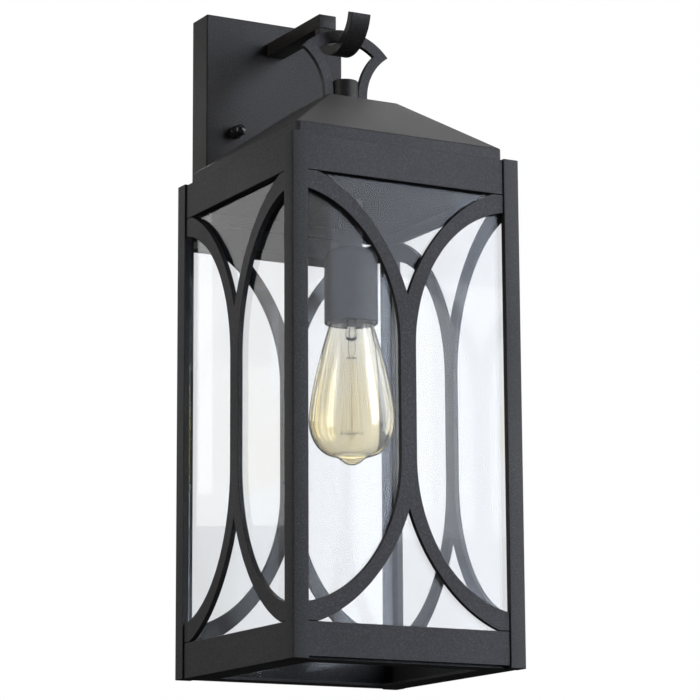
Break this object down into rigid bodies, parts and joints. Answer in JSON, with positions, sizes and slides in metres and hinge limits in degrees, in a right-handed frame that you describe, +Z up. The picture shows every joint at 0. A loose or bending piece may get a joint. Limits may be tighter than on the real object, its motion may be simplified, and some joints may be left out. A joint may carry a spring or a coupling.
{
  "type": "outdoor wall lantern",
  "caption": "Square glazed wall lantern with half-oval tracery and a low hipped roof, hung by a loop from a hook on a wall bracket, with a tubular-socket filament bulb.",
  "frame": {"origin": "on the wall, behind the middle of the back plate", "axes": "+Y into the wall, +Z up, the lantern's front faces -Y"},
  "size_m": [0.1886, 0.2343, 0.525],
  "materials": {
    "black_metal": "fine-textured satin black powder coat",
    "zinc_steel": "zinc plated",
    "green_screw": "green dyed zinc",
    "clear_glass": "clear, polished",
    "amber_glass": "clear, amber tinted",
    "brass": "bright",
    "ceramic": "matt",
    "filament_wire": "dark wire"
  },
  "bodies": {
    "bracket": {"wall_crossbar": "zinc_steel", "mounting_stud_left": "zinc_steel", "mounting_stud_right": "zinc_steel", "stud_nut_left": "zinc_steel", "stud_nut_right": "zinc_steel", "ground_screw": "green_screw", "back_plate": "black_metal", "arm": "black_metal", "arm_screw": "zinc_steel", "hook": "black_metal"},
    "lantern": {"hanging_loop": "black_metal", "loop_foot": "black_metal", "roof_nipple": "zinc_steel", "roof_nipple_nut": "zinc_steel", "roof": "black_metal", "ceiling_plate": "black_metal", "post_back_right": "black_metal", "post_back_left": "black_metal", "post_front_left": "black_metal", "post_front_right": "black_metal", "top_rail_front": "black_metal", "top_rail_right": "black_metal", "top_rail_back": "black_metal", "top_rail_left": "black_metal", "bottom_rail_front": "black_metal", "bottom_rail_right": "black_metal", "bottom_rail_back": "black_metal", "bottom_rail_left": "black_metal", "tracery_front": "black_metal", "tracery_right": "black_metal", "tracery_back": "black_metal", "tracery_left": "black_metal", "glass_front": "clear_glass", "glass_right": "clear_glass", "glass_back": "clear_glass", "glass_left": "clear_glass", "bottom_ring": "black_metal", "stem_tube": "black_metal", "stem_nipple": "zinc_steel", "stem_nut_upper": "zinc_steel", "stem_nut_lower": "zinc_steel", "socket_cup": "black_metal", "lampholder": "ceramic", "screw_shell": "brass", "centre_contact": "brass"},
    "bulb": {"bulb_glass": "amber_glass", "bulb_base": "brass", "bulb_contact": "brass", "bulb_mount": "clear_glass", "filament_rod": "clear_glass", "filament_hooks_lower": "filament_wire", "filament_hooks_upper": "filament_wire", "filament": "filament_wire", "lead_wire_left": "filament_wire", "lead_wire_right": "filament_wire"},
    "finial": {"finial_nut": "black_metal"},
    "cap_nut_left": {"cap_nut_left": "black_metal"},
    "cap_nut_right": {"cap_nut_right": "black_metal"}
  },
  "joints": [
    {"name": "lantern_swing", "type": "hinge", "parent": "bracket", "child": "lantern", "pos_m": [0, -0.137, 0.0685], "axis": [1, 0, 0], "range_deg": [-25, 5]},
    {"name": "bulb_unscrew", "type": "hinge", "parent": "lantern", "child": "bulb", "pos_m": [0.0042, -0.14, -0.15], "axis": [0, 0, 1], "continuous": true},
    {"name": "finial_unscrew", "type": "hinge", "parent": "lantern", "child": "finial", "pos_m": [0, -0.14, 0.0075], "axis": [0, 0, 1], "continuous": true},
    {"name": "cap_nut_left_unscrew", "type": "hinge", "parent": "bracket", "child": "cap_nut_left", "pos_m": [-0.0352, -0.032, 0], "axis": [0, 1, 0], "continuous": true},
    {"name": "cap_nut_right_unscrew", "type": "hinge", "parent": "bracket", "child": "cap_nut_right", "pos_m": [0.0352, -0.032, 0], "axis": [0, 1, 0], "continuous": true}
  ]
}
